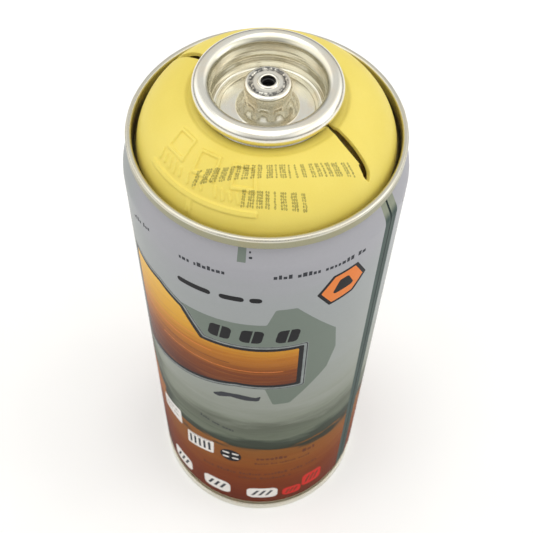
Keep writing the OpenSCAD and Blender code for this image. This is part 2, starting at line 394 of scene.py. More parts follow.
# ------------------------------------------------------------------ printed tinplate
def bright_tinplate(name, base, warm, rough, lines=9.0, depth=0.010, warm_amount=0.55, more=None):
    """Spun, lacquered tinplate: turning lines round the axis, warm patches, faint stains."""
    g = Material(name)
    grain = g.stretched((g.radius, lines), (g.z, lines), (g.angle, 0.35), detail=4, rough=0.6)
    blotch = g.noise(scale=0.16, detail=3, rough=0.55, warp=0.6)
    fine = g.noise(scale=2.2, detail=4, rough=0.6)
    col = g.mix(g.remap(blotch, over=(0.42, 0.66), to=(0.0, warm_amount), smooth=True), base, warm)
    col = g.mix(g.remap(grain, over=(0.25, 0.75), to=(0.0, 0.16)), col, (0.62, 0.60, 0.55))
    col = g.mix(g.remap(fine, over=(0.62, 0.78), to=(0.0, 0.25)), col, (0.55, 0.52, 0.46))
    if more:
        col = more(g, col)
    roughness = g.plus(g.remap(grain, over=(0.3, 0.7), to=(rough - 0.05, rough + 0.07)),
                       g.remap(fine, over=(0.4, 0.75), to=(0.0, 0.06)))
    normal = g.bump(grain, strength=0.5, depth=depth)
    dents = g.noise(scale=0.30, detail=1, rough=0.4)
    normal = g.bump(dents, strength=0.25, depth=0.02, after=normal)
    return g.set(Base_Color=col, Metallic=1.0, Roughness=roughness, Normal=normal)


def ink(name, colour, rough=0.34, grain=0.06, metal=0.0, coat=1.0):
    """A printed, varnished area: mottled ink under an orange-peel varnish."""
    g = Material(name)
    c = colour(g) if callable(colour) else colour
    mottle = g.noise(scale=1.7, detail=4, rough=0.6)
    c = g.mix(g.remap(mottle, over=(0.3, 0.7), to=(0.0, grain)), c,
              g.tinted(c, (0.55, 0.55, 0.55)))
    peel = g.noise(scale=1.3, detail=2, rough=0.5)
    scuff = g.noise(scale=0.35, detail=5, rough=0.7, warp=1.2)
    return g.set(
        Base_Color=c, Metallic=metal, Specular_IOR_Level=0.0, Coat_IOR=1.34,
        Roughness=g.plus(rough, g.remap(scuff, over=(0.45, 0.75), to=(-0.04, 0.12))),
        Coat_Weight=g.remap(g.z, over=(30.0, 110.0), to=(0.16 * coat, 0.38 * coat)),
        Coat_Roughness=g.remap(scuff, over=(0.4, 0.75), to=(0.06, 0.20)),
        Normal=g.bump(peel, strength=0.12, depth=0.02))


# (share of the printed height, colour): rust, orange, dark green, grey-green, grey, lavender
GROUND_FADE = [
    (0.00, srgb(112, 40, 18)), (0.08, srgb(136, 54, 20)), (0.17, srgb(152, 70, 24)),
    (0.26, srgb(172, 98, 34)), (0.318, srgb(166, 104, 42)), (0.330, srgb(56, 60, 46)),
    (0.36, srgb(66, 74, 64)), (0.385, srgb(116, 124, 108)), (0.42, srgb(110, 116, 102)),
    (0.455, srgb(152, 158, 144)), (0.52, srgb(172, 177, 167)), (0.66, srgb(180, 185, 182)),
    (0.85, srgb(184, 188, 190)), (0.93, srgb(190, 190, 197)), (1.00, srgb(194, 193, 200))]
# (share of the printed height, overall darkening)
GROUND_DEPTH = [(0.0, 0.58), (0.325, 0.62), (0.345, 0.88), (0.42, 0.74), (0.5, 0.70), (1.0, 0.74)]
# (share of the banner's height, colour): dark brown up to yellow
BANNER_FADE = [
    (0.0, srgb(66, 32, 24)), (0.17, srgb(90, 42, 26)), (0.36, srgb(126, 64, 22)),
    (0.55, srgb(180, 112, 30)), (0.72, srgb(214, 156, 44)), (1.0, srgb(234, 186, 80))]
PRINT_SPAN = (0.0, 156.0)                       # heights the ground's fade covers


def print_ground(g):
    """The ground's fade up the can, wavy, and lifted towards the left."""
    wave = g.stretched((g.x, 0.055), (g.y, 0.055), (g.z, 0.24), rough=0.55, warp=0.3)
    rise = g.times(g.remap(g.y, over=(-26.0, -2.0), to=(0.0, 30.0), smooth=True),
                   g.remap(g.x, over=(-20.0, -32.0), smooth=True))
    level = g.plus(g.z, g.remap(wave, over=(0.3, 0.7), to=(-3.0, 3.0)))
    level = g.calc("SUBTRACT", level, rise)
    ground = g.ramp(g.remap(level, over=PRINT_SPAN), GROUND_FADE)
    streak = g.stretched((g.x, 0.08), (g.y, 0.08), (g.z, 1.3), rough=0.6)
    low = g.remap(g.z, over=(95.0, 45.0), to=(0.0, 0.35))
    ground = g.mix(g.times(g.remap(streak, over=(0.4, 0.7)), low), ground,
                   g.tinted(ground, (0.62, 0.62, 0.55)))
    return g.tinted(ground, g.ramp(g.remap(g.z, over=PRINT_SPAN), GROUND_DEPTH))


def banner_fade(g):
    streak = g.stretched((g.x, 0.05), (g.y, 0.05), (g.z, 0.9), detail=4, rough=0.6, warp=0.4)
    level = g.plus(g.z, g.remap(streak, over=(0.3, 0.7), to=(-2.2, 2.2)))
    c = g.ramp(g.remap(level, over=(84.0, 127.0)), BANNER_FADE)
    return g.mix(g.remap(streak, over=(0.5, 0.72), to=(0.0, 0.4)), c, srgb(150, 92, 48))


def outline_grey(g):
    return g.ramp(g.noise(scale=0.5, detail=2, rough=0.5),
                  [(0.3, srgb(126, 132, 132)), (0.7, srgb(146, 151, 150))])


def sage(g):
    return g.ramp(g.remap(g.z, over=(80, 135)),
                  [(0.0, srgb(108, 118, 108)), (1.0, srgb(118, 128, 120))])


def bare_margin(g):
    """Dull unprinted tin beside the side weld, streaked up the can and paler on the neck."""
    streak = g.stretched((g.angle, 60.0), 0.0, (g.z, 0.06), rough=0.6)
    neck = g.remap(g.z, over=(147.2, 149.6), smooth=True)
    c = g.mix(neck, srgb(76, 91, 87), srgb(150, 155, 138))
    amount = g.times(g.remap(streak, over=(0.35, 0.65), to=(0.0, 0.65)),
                     g.remap(neck, over=(0.0, 1.0), to=(1.0, 0.35)))
    return g.mix(amount, c, srgb(58, 70, 67))


# the body's material slots, in order
INKS = {
    "ground": ink("print_ground", print_ground),
    "black": ink("print_black", (0.012, 0.012, 0.014), rough=0.3),
    "grey": ink("print_outline_grey", outline_grey),
    "sage": ink("print_sage", sage),
    "banner": ink("print_banner", banner_fade),
    "orange": ink("print_orange", srgb(226, 128, 62)),
    "white": ink("print_white", srgb(226, 222, 218)),
    "red": ink("print_red", srgb(198, 42, 34)),
    "dark": ink("print_dark_line", srgb(54, 56, 62)),
    "brown": ink("print_brown_line", srgb(96, 52, 30)),
    "bare": ink("bare_weld_margin", bare_margin, rough=0.36, grain=0.10, metal=0.10, coat=0.35),
    "line": ink("weld_bead", srgb(44, 54, 52), rough=0.42, grain=0.15, metal=0.10, coat=0.35),
    "inside": bright_tinplate("body_inside", (0.62, 0.58, 0.47), (0.66, 0.56, 0.40), rough=0.3),
}
INK = {name: i for i, name in enumerate(INKS)}


# ------------------------------------------------------------------ other materials
def cup_flecks_and_painted_shade(g, c):
    """Dark flecks in the groove round the stem hole, and painted shade that darkens the inside wall.
    """
    groove = g.times(g.remap(g.radius, over=(2.9, 3.5), smooth=True),
                     g.remap(g.radius, over=(4.5, 4.0), smooth=True))
    groove = g.times(groove, g.remap(g.z, over=(CUP_CREST - 1.6, CUP_CREST - 1.2)))
    fleck = g.remap(g.noise(scale=1.5, detail=4, rough=0.7), over=(0.40, 0.56), to=(0.25, 0.95))
    c = g.mix(g.times(groove, fleck), c, (0.05, 0.052, 0.055))
    # painted shade: the cup's inside wall is mixed towards a dull dark olive
    inside = g.times(g.remap(g.radius, over=(10.9, 12.3), smooth=True),
                     g.remap(g.radius, over=(13.4, 12.9), smooth=True))
    return g.mix(g.times(inside, 0.60), c, (0.54, 0.52, 0.40))


def seam_shade(g, c):
    """A darker outside of the top seam, below its crest."""
    below = g.remap(g.z, over=(TOP - 0.45, TOP - 0.95), smooth=True)
    outside = g.remap(g.radius, over=(SEAM_R - 0.4, SEAM_R - 0.15))
    return g.mix(g.times(below, outside), c, g.tinted(c, (0.46, 0.46, 0.36)))


def ring_plastic(name, inked=False):
    g = Material(name)
    big = g.noise(scale=0.05, detail=3, rough=0.5)
    fine = g.noise(scale=3.2, detail=4, rough=0.65)
    c = g.mix(g.remap(big, over=(0.35, 0.65)), srgb(228, 208, 96), srgb(234, 215, 108))
    c = g.mix(g.remap(fine, over=(0.35, 0.7), to=(0.0, 0.10)), c, srgb(206, 182, 78))
    if inked:
        speck = g.noise(scale=2.6, detail=3, rough=0.7)
        c = g.mix(g.remap(speck, over=(0.30, 0.62), to=(0.90, 0.40)), c, srgb(112, 106, 48))
    normal = g.bump(fine, strength=0.22, depth=0.03)
    waves = g.noise(scale=0.6, detail=2, rough=0.5)
    normal = g.bump(waves, strength=0.15, depth=0.03, after=normal)
    return g.set(Base_Color=c, Roughness=g.remap(fine, over=(0.3, 0.7), to=(0.50, 0.62)),
                 Subsurface_Weight=0.12, Subsurface_Radius=(1.2 * MM, 0.9 * MM, 0.3 * MM),
                 Subsurface_Scale=1.0, Specular_IOR_Level=0.42, Normal=normal)


def plastic(name, base, low, rough=0.45, trans=0.0, scale=1.2):
    """Moulded plastic that varies from its base colour to a lower one in mottle and flow lines."""
    g = Material(name)
    mottle = g.noise(scale=scale, detail=4, rough=0.6)
    flow = g.stretched((g.angle, 2.0), (g.radius, 0.6), (g.z, 0.15))
    c = g.mix(g.remap(mottle, over=(0.3, 0.75), to=(0.0, 0.6)), base, low)
    c = g.mix(g.remap(flow, over=(0.5, 0.8), to=(0.0, 0.4)), c, low)
    return g.set(Base_Color=c, Transmission_Weight=trans,
                 Roughness=g.remap(mottle, over=(0.3, 0.7), to=(rough - 0.06, rough + 0.08)),
                 Subsurface_Weight=0.15, Subsurface_Radius=(1.0 * MM, 1.0 * MM, 0.9 * MM),
                 Subsurface_Scale=1.0, Normal=g.bump(mottle, strength=0.2, depth=0.02))


def rubber(name, base, dusty, rough=0.5):
    g = Material(name)
    grain = g.noise(scale=2.5, detail=5, rough=0.65)
    dust = g.noise(scale=0.8, detail=3, rough=0.6)
    return g.set(Base_Color=g.mix(g.remap(dust, over=(0.45, 0.75), to=(0.0, 0.5)), base, dusty),
                 Roughness=g.remap(grain, over=(0.3, 0.7), to=(rough - 0.08, rough + 0.12)),
                 Normal=g.bump(grain, strength=0.35, depth=0.03))


def steel(name, base, rough):
    """Drawn steel, shaded by its grain and darkened in small pits."""
    g = Material(name)
    grain = g.stretched((g.x, 2.0), (g.y, 2.0), (g.z, 5.0), detail=4, rough=0.6)
    pit = g.noise(scale=1.6, detail=4, rough=0.7)
    c = g.mix(g.remap(grain, over=(0.3, 0.7), to=(0.0, 0.35)), base,
              (base[0] * 0.7, base[1] * 0.7, base[2] * 0.68))
    c = g.mix(g.remap(pit, over=(0.62, 0.75), to=(0.0, 0.5)), c, (0.32, 0.29, 0.25))
    return g.set(Base_Color=c, Metallic=1.0,
                 Roughness=g.remap(grain, over=(0.3, 0.7), to=(rough - 0.05, rough + 0.10)),
                 Normal=g.bump(grain, strength=0.25, depth=0.012))


# the cup's tin carries painted shade on its inside wall and dark flecks in the groove round the stem
# hole
CUP_TIN = bright_tinplate("valve_cup_tinplate", (0.85, 0.83, 0.75), (0.90, 0.79, 0.63),
                          rough=0.18, lines=7.0, depth=0.008, more=cup_flecks_and_painted_shade)
DOME_TIN = bright_tinplate("dome_tinplate", (0.66, 0.64, 0.55), (0.70, 0.63, 0.48),
                           rough=0.28, lines=7.0, depth=0.008, warm_amount=0.5, more=seam_shade)
BASE_TIN = bright_tinplate("bottom_tinplate", (0.66, 0.64, 0.56), (0.70, 0.63, 0.50),
                           rough=0.26, lines=6.0, depth=0.008, warm_amount=0.45)
RING_PLASTIC = ring_plastic("ring_plastic")
RING_INK = ring_plastic("ring_code_ink", inked=True)
NYLON = plastic("valve_nylon", (0.82, 0.82, 0.79), (0.70, 0.69, 0.63))
ACETAL = plastic("spring_cup_acetal", (0.016, 0.016, 0.018), (0.035, 0.035, 0.035), rough=0.35)
TUBE_PLASTIC = plastic("dip_tube_polyethylene", (0.84, 0.86, 0.85), (0.74, 0.77, 0.76),
                       rough=0.35, trans=0.35, scale=0.4)
STEM_RUBBER = rubber("stem_gasket_rubber", (0.012, 0.012, 0.013), (0.035, 0.034, 0.033),
                     rough=0.38)
CUP_RUBBER = rubber("cup_gasket_rubber", (0.05, 0.05, 0.055), (0.10, 0.10, 0.10))
COMPOUND = rubber("seam_compound", (0.32, 0.20, 0.12), (0.42, 0.30, 0.20), rough=0.6)
SPRING_STEEL = steel("spring_wire", (0.72, 0.72, 0.73), rough=0.22)
BALL_STEEL = steel("ball_steel", (0.66, 0.67, 0.68), rough=0.16)


# ------------------------------------------------------------------ double seams
# radii of the sheets' middles, outermost first, for a seam of outer radius r
def end_wall(r):
    return r - END_T / 2


def body_hook(r):
    return r - END_T - GAP - BODY_T / 2


def end_hook(r):
    return r - END_T - BODY_T - 2 * GAP - END_T / 2


def body_wall(r):
    return r - 2 * END_T - BODY_T - 3 * GAP - BODY_T / 2


def end_inner(r):
    return r - 2 * END_T - 2 * BODY_T - 4 * GAP - END_T / 2


# ------------------------------------------------------------------ the body's wall
body_path = rounded([
    (body_hook(SEAM_R), TOP - SEAM_H + 0.75), (body_hook(SEAM_R), TOP - HOOK, 0.22),
    (body_wall(SEAM_R), TOP - HOOK, 0.22), (body_wall(SEAM_R), TOP - 4.2, 3.2),
    (BODY_R - BODY_T / 2, TOP - 9.0, 6.0), (BODY_R - BODY_T / 2, 8.2, 6.0),
    (body_wall(FOOT_R), 4.6, 3.0), (body_wall(FOOT_R), HOOK, 0.22),
    (body_hook(FOOT_R), HOOK, 0.22), (body_hook(FOOT_R), SEAM_H - 0.75)], 10)
outer, inner = offset(body_path, BODY_T / 2), offset(body_path, -BODY_T / 2)
SEGMENTS = 320
COLUMN = 360 / SEGMENTS                         # degrees per column of the wall's grid
# the printed part of the outer line, top first
printed = [i for i, p in enumerate(outer)
           if 3.3 < p[1] < TOP - SEAM_H - 0.05 and p[0] > body_wall(SEAM_R)]
FIRST, LAST = printed[0], printed[-1]
wall = outer[FIRST:LAST + 1]
WALL_LOW, WALL_HIGH = wall[-1][1], wall[0][1]
wall_z = np.array([p[1] for p in wall][::-1])
wall_r = np.array([p[0] for p in wall][::-1])


def wall_rows():
    """Heights of the grid's rows, closer together on the two necks."""
    rows = []
    for a, b in zip(wall, wall[1:]):
        step = 0.5 if b[1] > TOP - 11 or a[1] < 9 else 4.0
        n = max(1, int(math.ceil((a[1] - b[1]) / step)))
        rows += [a[1] + (b[1] - a[1]) * i / n for i in range(n)]
    return rows + [WALL_LOW]


# ------------------------------------------------------------------ printing tools
# Print is laid out as (degrees round the can, height) and kept unrolled, in mm.
layers = []                                     # (outline, ink index), later ones on top


def around(degrees):
    return rad(degrees) * BODY_R


def unrolled(points):
    return [(around(t), z) for t, z in points]


def fill(points, colour):
    q = unrolled(points)
    layers.append((refine(q + [q[0]], 1.0)[:-1], INK[colour]))


def grow(points, d):
    """The closed outline moved outwards by d mm."""
    q = unrolled(points)
    turn = -1 if sum(a[0] * b[1] - b[0] * a[1] for a, b in zip(q, q[1:] + q[:1])) > 0 else 1
    out = []
    for i, b in enumerate(q):
        u, v = direction(q[i - 1], b), direction(b, q[(i + 1) % len(q)])
        t = unit((u[0] + v[0], u[1] + v[1]))
        mitre = max(0.4, t[0] * v[0] + t[1] * v[1])
        out.append((deg((b[0] - turn * d / mitre * t[1]) / BODY_R),
                    b[1] + turn * d / mitre * t[0]))
    return out


def patch(points, colour, rounding, steps=4):
    """A filled area with its corners rounded by up to 'rounding' mm."""
    q = unrolled(points)
    out = []
    for i, b in enumerate(q):
        a, c = q[i - 1], q[(i + 1) % len(q)]
        u, v = direction(b, a), direction(b, c)
        angle = math.acos(max(-1, min(1, u[0] * v[0] + u[1] * v[1])))
        if angle > rad(172):
            out.append(b)
            continue
        shorter = min(distance(a, b), distance(b, c))
        out += fillet(a, b, c, min(rounding, 0.45 * shorter * math.tan(angle / 2)), steps)
    fill([(deg(x / BODY_R), z) for x, z in out], colour)


def words(t0, z0, t1, z1, h, colour, seed):
    """A line of small plain ticks of height h in word-like groups."""
    rnd = random.Random(seed)
    u0, u1 = around(t0), around(t1)
    at, end = 0.0, math.hypot(u1 - u0, z1 - z0)
    dx, dz = (u1 - u0) / end, (z1 - z0) / end
    while at < end - h:
        for _ in range(rnd.randint(3, 8)):
            w, k = h * rnd.uniform(0.32, 0.62), h * rnd.choice((0.62, 0.7, 0.7, 1.0))
            if at + w > end:
                break
            ax, az = u0 + dx * at, z0 + dz * at
            bx, bz = u0 + dx * (at + w), z0 + dz * (at + w)
            layers.append(([(ax, az - h / 2), (bx, bz - h / 2), (bx, bz - h / 2 + k),
                            (ax, az - h / 2 + k)], INK[colour]))
            at += w + 0.20 * h
        at += 0.55 * h


def word_lines(*lines):
    for line in lines:
        words(*line)


def bars(t0, z0, t1, z1, h, parts, colour):
    """Plain rounded bars along a line; parts are (start, end) shares of its length."""
    for a, b in parts:
        ta, tb = t0 + (t1 - t0) * a, t0 + (t1 - t0) * b
        za, zb = z0 + (z1 - z0) * a, z0 + (z1 - z0) * b
        patch([(ta, za - h / 2), (tb, zb - h / 2), (tb, zb + h / 2), (ta, za + h / 2)],
              colour, h * 0.45)


def badge(t, z, w, h, colour, mark):
    """A rounded tab of w by h mm with three leaning strokes."""
    d = deg(w / 2 / BODY_R)
    q = [(t - d, z - h / 2), (t + d, z - h / 2), (t + d, z + h / 2), (t - d, z + h / 2)]
    patch(q, colour, min(w, h) * 0.28, 6)
    for k in (-0.5, 0.0, 0.5):
        c = t + k * d * 0.9
        fill([(c - d * 0.28, z - h * 0.26), (c - d * 0.08, z - h * 0.26),
              (c + d * 0.28, z + h * 0.26), (c + d * 0.08, z + h * 0.26)], mark)


def column_band(k0, k1, z0, z1, colour):
    """An upright band between two grid columns, with end points only on the columns."""
    lift = [p[1] for p in refine([(0, z0), (0, z1)], 1.0)]
    left, right = around(k0 * COLUMN), around(k1 * COLUMN)
    q = [(around(k * COLUMN), z0) for k in range(k0, k1 + 1)]
    q += [(right, z) for z in lift[1:-1]]
    q += [(around(k * COLUMN), z1) for k in range(k1, k0 - 1, -1)]
    q += [(left, z) for z in lift[-2:0:-1]]
    layers.append((q, INK[colour]))


# ------------------------------------------------------------------ the print, lowest layer first
WHOLE = [(0, 1)]
BEAD_MIDDLE = -28.5                             # the weld bead's middle, in columns


def draw_weld():
    """Side weld at the front right: a bare margin, the bead and a thin line beside it."""
    column_band(-32, -24, WALL_LOW, WALL_HIGH, "bare")
    column_band(-29, -28, WALL_LOW, WALL_HIGH, "line")
    t = -26 * COLUMN
    fill([(t, WALL_LOW + 0.5), (t + 0.4, WALL_LOW + 0.5), (t + 0.4, TOP - 9), (t, TOP - 9)],
         "line")


def draw_neck():
    """A register bar on the neck and lines of ticks and bars under it."""
    column_band(-89, -86, TOP - 7.4, WALL_HIGH, "sage")
    bars(-95.7, 150.2, -94.3, 150.2, 0.5, WHOLE, "dark")
    bars(-95.7, 151.4, -94.9, 151.4, 0.5, WHOLE, "dark")
    word_lines((-153.0, 142.4, -139.5, 145.2, 1.5, "dark", 1),
               (-124.0, 144.5, -104.6, 145.0, 1.55, "dark", 2),
               (-86.1, 145.0, -46.5, 144.4, 1.6, "dark", 3))
    bars(-126.0, 134.9, -90.1, 135.5, 1.9, [(0, 0.42), (0.52, 0.80), (0.86, 1.0)], "black")


def draw_banner():
    """A many-sided sage plate, then the stepped banner with its edges, lines and blocks."""
    patch([(-126, 124.6), (-88, 124.8), (-84.5, 131.5), (-76, 131.5), (-57, 116), (-55.5, 106),
           (-59, 97), (-76, 82.5), (-84, 82.5), (-88, 92), (-126, 92)], "sage", 0.8)
    banner = [(-160, 127.5), (-138, 127.0), (-125, 123.0), (-116, 113.4), (-71.5, 113.4),
              (-71.5, 92.6), (-101, 93.2), (-128, 88.6), (-160, 83.5)]
    # (growth, colour, rounding): grey keylines round a black edge, then the panel
    for growth, colour, rounding in ((1.15, "grey", 0.8), (0.95, "black", 0.8),
                                     (0.70, "grey", 0.7), (0.0, "black", 0.6),
                                     (-1.25, "banner", 0.5)):
        patch(grow(banner, growth), colour, rounding)
    # hairlines: (start degrees, end degrees, height, colour)
    for a, b, z, colour in ((-150, -112, 108, "orange"), (-146, -104, 104.5, "brown"),
                            (-140, -80, 101.5, "orange"), (-128, -76, 98.6, "brown"),
                            (-150, -120, 112.5, "orange")):
        fill([(a, z), (b, z - 0.3), (b, z - 0.05), (a, z + 0.22)], colour)
    # three leaning black blocks, each with a sage stroke
    for t in (-113.5, -99.8, -84.6):
        patch([(t, 116.2), (t + 9.6, 116.2), (t + 11.2, 122.0), (t + 1.6, 122.0)], "black", 1.3)
        fill([(t + 4.6, 116.0), (t + 5.3, 116.0), (t + 7.0, 122.2), (t + 6.3, 122.2)], "sage")
    # brush swoosh under the banner
    patch([(-113.5, 84.2), (-108, 86.9), (-100, 87.6), (-92, 86.6), (-89.5, 87.8), (-90.5, 84.6),
           (-97, 84.5), (-104, 85.2), (-110, 83.4)], "dark", 1.0)


def draw_emblem():
    """An orange six-sided badge with a black border and a black four-sided mark."""
    badge_line = [(-66.5, 134.6), (-61.5, 129.6), (-52.0, 130.6), (-46.8, 134.8),
                  (-51.6, 140.2), (-61.0, 139.6)]
    patch(grow(badge_line, 0.9), "black", 0.5)
    patch(badge_line, "orange", 0.4)
    patch([(-61.8, 132.6), (-51.2, 133.4), (-54.6, 137.9), (-58.6, 137.6)], "black", 0.8)


def draw_foot():
    """Panels, a disc, tabs and small lines on the lower front."""
    words(-121.0, 66.0, -100.0, 62.5, 1.3, "dark", 4)
    patch([(-132.5, 37.5), (-115.0, 40.8), (-114.4, 49.6), (-131.8, 46.6)], "white", 0.5)
    for i in range(5):
        t, z = -130.6 + i * 3.1, 38.9 + i * 0.6
        fill([(t, z + 0.3), (t + 1.5, z + 0.6), (t + 1.5, z + 6.4), (t, z + 6.1)], "dark")
    fill([(-130.8, 45.9), (-116.3, 48.6), (-116.3, 48.9), (-130.8, 46.2)], "dark")
    turns = [2 * math.pi * i / 28 for i in range(28)]
    fill([(-105.1 + deg(3.4 / BODY_R) * math.cos(a), 44.0 + 4.2 * math.sin(a)) for a in turns],
         "black")
    for z in (45.6, 42.4):
        bars(-109.6, z, -100.6, z, 1.0, [(0, 0.42), (0.58, 1.0)], "white")
    word_lines((-91.0, 44.3, -71.0, 44.3, 2.0, "brown", 5),
               (-66.0, 45.0, -56.5, 45.2, 2.2, "brown", 6),
               (-92.0, 40.4, -60.0, 40.6, 1.2, "brown", 7),
               (-122.0, 30.6, -55.0, 33.0, 1.6, "brown", 8),
               (-101.0, 28.0, -70.0, 28.6, 1.5, "brown", 9))
    badge(-114.4, 15.4, 9.6, 9.4, "white", "dark")
    badge(-87.4, 15.0, 10.2, 8.2, "white", "dark")
    badge(-140.0, 15.6, 9.0, 9.4, "white", "dark")
    badge(-57.5, 18.2, 7.2, 9.6, "red", "brown")
    badge(-70.0, 13.8, 6.4, 6.4, "red", "brown")
    patch([(-152, 46.5), (-136, 46.5), (-136, 56), (-152, 54)], "white", 0.6)
    word_lines((-150.5, 52.0, -138, 53.0, 1.0, "dark", 10),
               (-150.5, 49.4, -138, 50.0, 1.0, "dark", 11))


def draw_back():
    """A white panel of ticks, bars, and a row of tabs."""
    panel = [(34, 60), (150, 60), (150, 128), (34, 128)]
    patch(grow(panel, 0.9), "grey", 1.6)
    patch(panel, "white", 1.2)
    for i in range(15):
        z = 122.5 - i * 4.1
        words(38, z, 146 - (i % 4) * 9, z, 1.3, "dark", 20 + i)
    bars(38, 136, 118, 136, 2.6, [(0, 0.22), (0.27, 0.62), (0.67, 0.8)], "black")
    word_lines((-20, 145, 24, 145, 1.5, "dark", 41), (60, 145, 112, 145, 1.5, "dark", 42))
    for i, c in enumerate(("white", "white", "orange", "white", "red")):
        badge(44 + i * 24, 22, 10.0, 10.0, c, "dark")
    word_lines((36, 45, 148, 45, 1.6, "brown", 43), (36, 40.5, 120, 40.5, 1.3, "brown", 44),
               (36, 36.5, 134, 36.5, 1.3, "brown", 45))


def draw_right():
    """A sage block with four bars, and a tab under it."""
    block = [(-16, 84), (22, 84), (22, 120), (-16, 120)]
    patch(grow(block, 0.8), "grey", 2.4)
    patch(block, "sage", 2.0)
    for i in range(4):
        z = 113 - i * 7.5
        bars(-12, z, 18 - (i % 2) * 6, z, 2.2, WHOLE, "white" if i % 2 else "black")
    badge(3, 62, 13.0, 11.0, "grey", "white")


# ------------------------------------------------------------------ the printed body
WELD_STEP = 0.05                                # the wall lies this far in, except at the weld
WELD_SPREAD = 1.2                               # degrees over which the step fades


def end_fade(z):
    """0 at the wall's ends, 1 from 4 mm inside them."""
    return np.clip((z - WALL_LOW) / 4, 0, 1) * np.clip((WALL_HIGH - z) / 4, 0, 1)


def build_body():
    columns = [around(-180 + j * COLUMN) for j in range(SEGMENTS + 1)]
    points, edges = plane_grid(columns, wall_rows())
    areas = []
    for outline, _ in layers:
        add_area(points, areas, outline)
    flat, tris, held_by = planar(points, edges, areas)
    flat = np.array(flat)
    angle, z = flat[:, 0] / BODY_R, np.clip(flat[:, 1], WALL_LOW, WALL_HIGH)
    from_weld = (np.degrees(angle) - BEAD_MIDDLE * COLUMN) / WELD_SPREAD
    r = np.interp(z, wall_z, wall_r)
    r = r - WELD_STEP * end_fade(z) * (1 - np.exp(-from_weld ** 2))
    verts = list(zip(r * np.cos(angle), r * np.sin(angle), z))
    faces = tris
    index = [layers[max(ids)][1] if ids else INK["ground"] for ids in held_by]
    # the hooks and the inside, turned with the same columns
    strip = thin(outer[LAST:] + list(reversed(inner)) + outer[:FIRST + 1], 0.01)
    m, base = len(strip), len(verts)
    # its ends meet the printed wall
    strip[0] = (float(np.interp(WALL_LOW, wall_z, wall_r)), WALL_LOW)
    strip[-1] = (float(np.interp(WALL_HIGH, wall_z, wall_r)), WALL_HIGH)
    strip = [(r - WELD_STEP * float(end_fade(z)), z) for r, z in strip]
    for j in range(SEGMENTS):
        a = rad(-180 + j * COLUMN)
        verts += [(r * math.cos(a), r * math.sin(a), z) for r, z in strip]
    for j in range(SEGMENTS):
        here, there = base + j * m, base + (j + 1) % SEGMENTS * m
        for i in range(m - 1):
            faces.append([here + i, there + i, there + i + 1, here + i + 1])
            index.append(INK["inside"])
    return make("can_body_printed", verts, faces, "can", list(INKS.values()), "can_body",
                index, sharp=40)


def set_wall_normals(ob):
    """True normals of the turned wall, so highlights run clean over the cut-in print."""
    me = ob.data
    normals = np.zeros((len(me.loops), 3), np.float32)
    co = np.zeros(len(me.vertices) * 3)
    me.vertices.foreach_get("co", co)
    co = co.reshape(-1, 3) / MM
    slope = np.gradient(wall_r, wall_z)
    for p in me.polygons:
        if p.material_index == INK["inside"]:
            continue
        for li in p.loop_indices:
            x, y, z = co[me.loops[li].vertex_index]
            if z < WALL_LOW + 0.3 or z > WALL_HIGH - 0.3:
                continue
            h = math.hypot(x, y)
            v = np.array((x / h, y / h, -float(np.interp(z, wall_z, slope))))
            normals[li] = v / np.linalg.norm(v)
    me.normals_split_custom_set([tuple(v) for v in normals])


for draw in (draw_weld, draw_neck, draw_banner, draw_emblem, draw_foot, draw_back, draw_right):
    draw()
set_wall_normals(build_body())


# ------------------------------------------------------------------ top dome with the top seam
def seam_wobble(r, z, a):
    """Faint roller waviness on the outside of the seam, never outwards of its radius."""
    if r > SEAM_R - 0.3 and z > TOP - SEAM_H:
        r -= 0.018 * (1 + math.sin(23 * a) * 0.6 + math.sin(51 * a + 1.3) * 0.4)
    return r, z


def build_dome():
    centre, radius = (13.33, TOP - 5.51), 13.55
    bead, bead_r = (14.1, CURL_Z - 0.1), 1.4    # the rolled edge inside the cup's curl
    bead_in = bead[0] - bead_r + END_T / 2
    seam = rounded([
        (end_hook(SEAM_R), TOP - 0.95), (end_hook(SEAM_R), TOP - SEAM_H + END_T / 2, 0.24),
        (end_wall(SEAM_R), TOP - SEAM_H + END_T / 2, 0.24),
        (end_wall(SEAM_R), TOP - END_T / 2, 0.45), (end_inner(SEAM_R), TOP - END_T / 2, 0.45),
        (end_inner(SEAM_R), TOP - 4.6, 1.2),
        (centre[0] + radius * math.cos(rad(4)) - 0.03, TOP - 4.6, 1.0),
        (centre[0] + radius * math.cos(rad(9)), centre[1] + radius * math.sin(rad(9)))], 10)
    neck = rounded([(16.2, TOP + 7.75), (14.5, TOP + 8.55, 0.8), (bead_in, TOP + 9.9, 0.8),
                    (bead_in, bead[1] - 0.3)], 8)
    path = thin(seam + arc(centre, radius, 13, 72, 40) + neck
                + arc(bead, bead_r - END_T / 2, 180, -110, 36))
    verts, faces = revolved(sheet_outline(path, END_T), 288, seam_wobble)
    make("top_dome_seamed", verts, faces, "can", [DOME_TIN], "top_dome", sharp=50)


